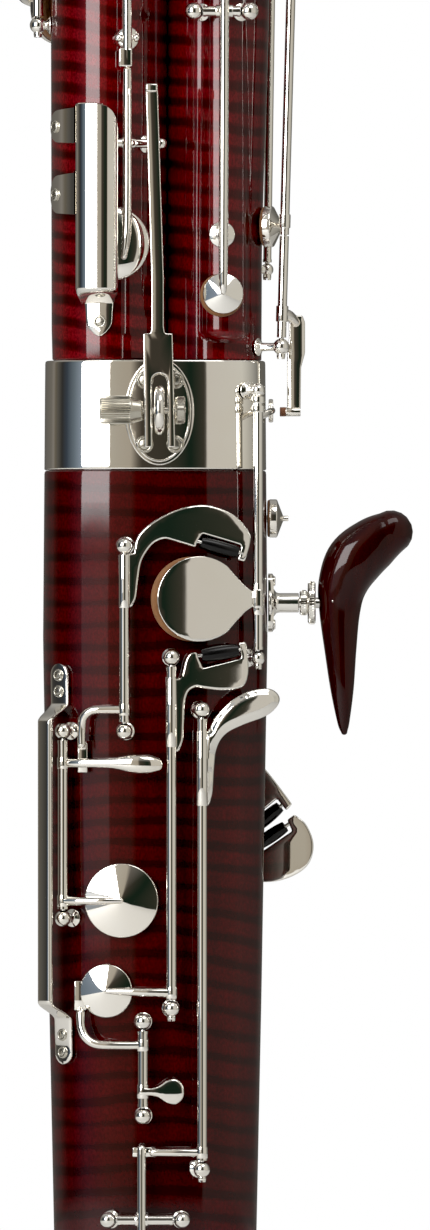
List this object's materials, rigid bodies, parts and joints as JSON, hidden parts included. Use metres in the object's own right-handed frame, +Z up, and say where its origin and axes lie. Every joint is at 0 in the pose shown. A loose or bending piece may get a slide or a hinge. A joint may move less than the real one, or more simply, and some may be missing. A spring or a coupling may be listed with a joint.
{
  "type": "bassoon",
  "caption": "Full-size double-reed woodwind in stained maple with plated rod-axle keywork, balance hanger, adjustable hand rest, bocal and reed.",
  "frame": {"origin": "centre of the boot cap's flat bottom", "axes": "+Z up the instrument to the bell, -Y towards the player (thumb keys), +X towards the wing joint and hand rest"},
  "size_m": [0.1489, 0.298, 1.34],
  "materials": {
    "stained_maple": "gloss lacquer over flamed maple",
    "silver_plate": "polished silver plate",
    "nickel_silver": "polished",
    "roller_black": "polished black",
    "bell_ring_white": "polished ivory-coloured",
    "reed_cane": "bare cane"
  },
  "bodies": {
    "instrument": {"b_flat_thumb_axle": "silver_plate", "bell": "stained_maple", "bell_rim": "bell_ring_white", "boot_body": "stained_maple", "boot_cap": "silver_plate", "boot_collar": "silver_plate", "boot_side_axle": "silver_plate", "c_sharp_trill_axle": "silver_plate", "f_sharp_thumb_axle": "silver_plate", "f_sharp_trill_axle": "silver_plate", "front_axle": "silver_plate", "g_sharp_rocker_axle": "silver_plate", "g_sharp_thumb_axle": "silver_plate", "hand_rest_socket": "silver_plate", "key_guard": "silver_plate", "long_joint": "stained_maple", "low_b_flat_axle": "silver_plate", "low_c_sharp_axle": "silver_plate", "low_d_axle": "silver_plate", "low_d_touch_axle": "silver_plate", "low_e_axle": "silver_plate", "low_f_sharp_axle": "silver_plate", "pad_guard": "silver_plate", "strap_ring_plate": "silver_plate", "u_bend": "nickel_silver", "whisper_axle": "silver_plate", "wing_joint": "stained_maple", "wing_side_axle": "silver_plate", "wing_socket_ring": "silver_plate", "wing_thumb_axle": "silver_plate"},
    "bocal": {"bocal": "nickel_silver", "reed": "reed_cane"},
    "hanger": {"hanger_arm": "silver_plate"},
    "hanger_screw": {"hanger_screw": "silver_plate"},
    "hand_rest": {"hand_rest": "stained_maple"},
    "hand_rest_nut": {"hand_rest_nut": "silver_plate"},
    "a_flat_front_key": {"a_flat_front_key": "silver_plate"},
    "a_flat_front_roller": {"a_flat_front_roller": "roller_black"},
    "b_flat_roller": {"b_flat_roller": "roller_black"},
    "b_flat_thumb_key": {"b_flat_thumb_key": "silver_plate"},
    "boot_side_key": {"boot_side_key": "silver_plate"},
    "c_sharp_trill_key": {"c_sharp_trill_key": "silver_plate"},
    "f_sharp_front_key": {"f_sharp_front_key": "silver_plate"},
    "f_sharp_front_roller": {"f_sharp_front_roller": "roller_black"},
    "f_sharp_roller": {"f_sharp_roller": "roller_black"},
    "f_sharp_thumb_key": {"f_sharp_thumb_key": "silver_plate"},
    "f_sharp_trill_key": {"f_sharp_trill_key": "silver_plate"},
    "g_front_key": {"g_front_key": "silver_plate"},
    "g_sharp_rocker": {"g_sharp_rocker": "silver_plate"},
    "g_sharp_thumb_key": {"g_sharp_thumb_key": "silver_plate"},
    "low_b_flat_key": {"low_b_flat_key": "silver_plate"},
    "low_c_sharp_key": {"low_c_sharp_key": "silver_plate"},
    "low_d_key": {"low_d_key": "silver_plate"},
    "low_d_touch": {"low_d_touch": "silver_plate"},
    "low_e_key": {"low_e_key": "silver_plate"},
    "low_f_sharp_key": {"low_f_sharp_key": "silver_plate"},
    "whisper_bridge": {"whisper_bridge": "silver_plate"},
    "whisper_key": {"whisper_key": "silver_plate"},
    "wing_side_key": {"wing_side_key": "silver_plate"},
    "wing_thumb_key": {"wing_thumb_key": "silver_plate"}
  },
  "joints": [
    {"name": "bocal_turn", "type": "hinge", "parent": "instrument", "child": "bocal", "pos_m": [0.0225, 0, 0.9], "axis": [0, 0, 1], "range_deg": [-20, 20]},
    {"name": "hanger_swing", "type": "hinge", "parent": "instrument", "child": "hanger", "pos_m": [0.0018, -0.03575, 0.421], "axis": [1, 0, 0], "range_deg": [0, 18]},
    {"name": "hanger_screw_turn", "type": "hinge", "parent": "hanger", "child": "hanger_screw", "pos_m": [0, -0.03575, 0.421], "axis": [1, 0, 0], "continuous": true},
    {"name": "hand_rest_turn", "type": "hinge", "parent": "instrument", "child": "hand_rest", "pos_m": [0.05439, 0, 0.349], "axis": [1, 0, 0], "range_deg": [-35, 35]},
    {"name": "hand_rest_nut_turn", "type": "hinge", "parent": "instrument", "child": "hand_rest_nut", "pos_m": [0.05439, 0, 0.349], "axis": [1, 0, 0], "continuous": true},
    {"name": "low_e_hinge", "type": "hinge", "parent": "instrument", "child": "low_e_key", "pos_m": [0.0386, -0.024, 0.3283], "axis": [0, 0, 1], "range_deg": [-5.5, 0], "stiffness_Nm_per_rad": 0.04, "springref_deg": 17.19},
    {"name": "b_flat_thumb_hinge", "type": "hinge", "parent": "instrument", "child": "b_flat_thumb_key", "pos_m": [-0.0114, -0.0331, 0.3009], "axis": [0, 0, 1], "range_deg": [0, 3.5], "stiffness_Nm_per_rad": 0.04, "springref_deg": -17.19},
    {"name": "f_sharp_thumb_hinge", "type": "hinge", "parent": "instrument", "child": "f_sharp_thumb_key", "pos_m": [0.0062, -0.033, 0.1972], "axis": [0, 0, 1], "range_deg": [0, 7], "stiffness_Nm_per_rad": 0.04, "springref_deg": -17.19},
    {"name": "g_sharp_thumb_hinge", "type": "hinge", "parent": "instrument", "child": "g_sharp_thumb_key", "pos_m": [0.0176, -0.032, 0.137], "axis": [0, 0, 1], "range_deg": [0, 6], "stiffness_Nm_per_rad": 0.04, "springref_deg": -17.19},
    {"name": "g_sharp_rocker_hinge", "type": "hinge", "parent": "instrument", "child": "g_sharp_rocker", "pos_m": [-0.0175, -0.03, 0.118], "axis": [1, 0, 0], "range_deg": [0, 5], "stiffness_Nm_per_rad": 0.02, "springref_deg": -17.19},
    {"name": "low_f_sharp_hinge", "type": "hinge", "parent": "instrument", "child": "low_f_sharp_key", "pos_m": [-0.0344, -0.0262, 0.2308], "axis": [0, 0, 1], "range_deg": [-7.35, 0], "stiffness_Nm_per_rad": 0.02, "springref_deg": 17.19},
    {"name": "f_sharp_trill_hinge", "type": "hinge", "parent": "instrument", "child": "f_sharp_trill_key", "pos_m": [-0.0045, -0.0318, 0.157], "axis": [0, 0, 1], "range_deg": [0, 4], "stiffness_Nm_per_rad": 0.04, "springref_deg": -17.19},
    {"name": "whisper_bridge_hinge", "type": "hinge", "parent": "instrument", "child": "whisper_bridge", "pos_m": [0.0474, -0.012, 0.4452], "axis": [0.0273, 0, 0.9996], "range_deg": [-5, 0], "stiffness_Nm_per_rad": 0.04, "springref_deg": 17.19},
    {"name": "wing_side_hinge", "type": "hinge", "parent": "instrument", "child": "wing_side_key", "pos_m": [0.0474, -0.012, 0.4452], "axis": [0.0273, 0, 0.9996], "range_deg": [-12, 0], "stiffness_Nm_per_rad": 0.04, "springref_deg": 17.19},
    {"name": "wing_thumb_hinge", "type": "hinge", "parent": "instrument", "child": "wing_thumb_key", "pos_m": [0.0146, -0.0262, 0.5705], "axis": [1, 0, 0], "range_deg": [-3, 0], "stiffness_Nm_per_rad": 0.04, "springref_deg": 17.19},
    {"name": "c_sharp_trill_hinge", "type": "hinge", "parent": "instrument", "child": "c_sharp_trill_key", "pos_m": [0.0422, 0.014, 0.475], "axis": [0.0144, 0.0052, 0.9999], "range_deg": [-7, 0], "stiffness_Nm_per_rad": 0.04, "springref_deg": 17.19},
    {"name": "low_d_touch_hinge", "type": "hinge", "parent": "instrument", "child": "low_d_touch", "pos_m": [-0.0176, -0.03, 0.5604], "axis": [0.9709, 0.2394, 0], "range_deg": [-7, 0], "stiffness_Nm_per_rad": 0.04, "springref_deg": 17.19},
    {"name": "low_d_hinge", "type": "hinge", "parent": "instrument", "child": "low_d_key", "pos_m": [-0.0215, -0.0302, 0.521], "axis": [0.9716, 0.2368, 0], "range_deg": [0, 3], "stiffness_Nm_per_rad": 0.02, "springref_deg": -17.19},
    {"name": "low_c_sharp_hinge", "type": "hinge", "parent": "instrument", "child": "low_c_sharp_key", "pos_m": [-0.0442, -0.0015, 0.5666], "axis": [0, 0, 1], "range_deg": [0, 8], "stiffness_Nm_per_rad": 0.04, "springref_deg": -17.19},
    {"name": "whisper_hinge", "type": "hinge", "parent": "instrument", "child": "whisper_key", "pos_m": [0.0086, -0.0174, 0.7], "axis": [0, 0, 1], "range_deg": [0, 3], "stiffness_Nm_per_rad": 0.04, "springref_deg": -17.19},
    {"name": "g_front_hinge", "type": "hinge", "parent": "instrument", "child": "g_front_key", "pos_m": [0.014, 0.033, 0.15], "axis": [0, 0, 1], "range_deg": [0, 5], "stiffness_Nm_per_rad": 0.04, "springref_deg": -17.19},
    {"name": "f_sharp_front_hinge", "type": "hinge", "parent": "instrument", "child": "f_sharp_front_key", "pos_m": [0.014, 0.033, 0.15], "axis": [0, 0, 1], "range_deg": [-6, 0], "stiffness_Nm_per_rad": 0.04, "springref_deg": 17.19},
    {"name": "a_flat_front_hinge", "type": "hinge", "parent": "instrument", "child": "a_flat_front_key", "pos_m": [0.014, 0.033, 0.15], "axis": [0, 0, 1], "range_deg": [-6, 0], "stiffness_Nm_per_rad": 0.04, "springref_deg": 17.19},
    {"name": "boot_side_hinge", "type": "hinge", "parent": "instrument", "child": "boot_side_key", "pos_m": [0.0368, 0.0256, 0.352], "axis": [0, 0, 1], "range_deg": [0, 6], "stiffness_Nm_per_rad": 0.04, "springref_deg": -17.19},
    {"name": "low_b_flat_hinge", "type": "hinge", "parent": "instrument", "child": "low_b_flat_key", "pos_m": [-0.0025, -0.0305, 1.09], "axis": [0, 0, 1], "range_deg": [-8, 0], "stiffness_Nm_per_rad": 0.04, "springref_deg": 17.19},
    {"name": "b_flat_roller_spin", "type": "hinge", "parent": "b_flat_thumb_key", "child": "b_flat_roller", "pos_m": [0.0172, -0.0304, 0.3716], "axis": [0.956, 0.1366, -0.2595], "continuous": true},
    {"name": "f_sharp_roller_spin", "type": "hinge", "parent": "f_sharp_thumb_key", "child": "f_sharp_roller", "pos_m": [0.0173, -0.0324, 0.3293], "axis": [0.9768, 0.1616, 0.1405], "continuous": true},
    {"name": "f_sharp_front_roller_spin", "type": "hinge", "parent": "f_sharp_front_key", "child": "f_sharp_front_roller", "pos_m": [0.0372, 0.03, 0.2633], "axis": [0.76, -0.1216, 0.6384], "continuous": true},
    {"name": "a_flat_front_roller_spin", "type": "hinge", "parent": "a_flat_front_key", "child": "a_flat_front_roller", "pos_m": [0.0382, 0.0298, 0.2568], "axis": [0.823, -0.1272, 0.5536], "continuous": true}
  ],
  "couplings": [
    {"joint": "low_f_sharp_hinge", "follows": "b_flat_thumb_hinge", "ratio": -2.1},
    {"joint": "g_sharp_rocker_hinge", "follows": "g_sharp_thumb_hinge", "ratio": 0.83},
    {"joint": "low_d_hinge", "follows": "low_d_touch_hinge", "ratio": -0.42}
  ]
}
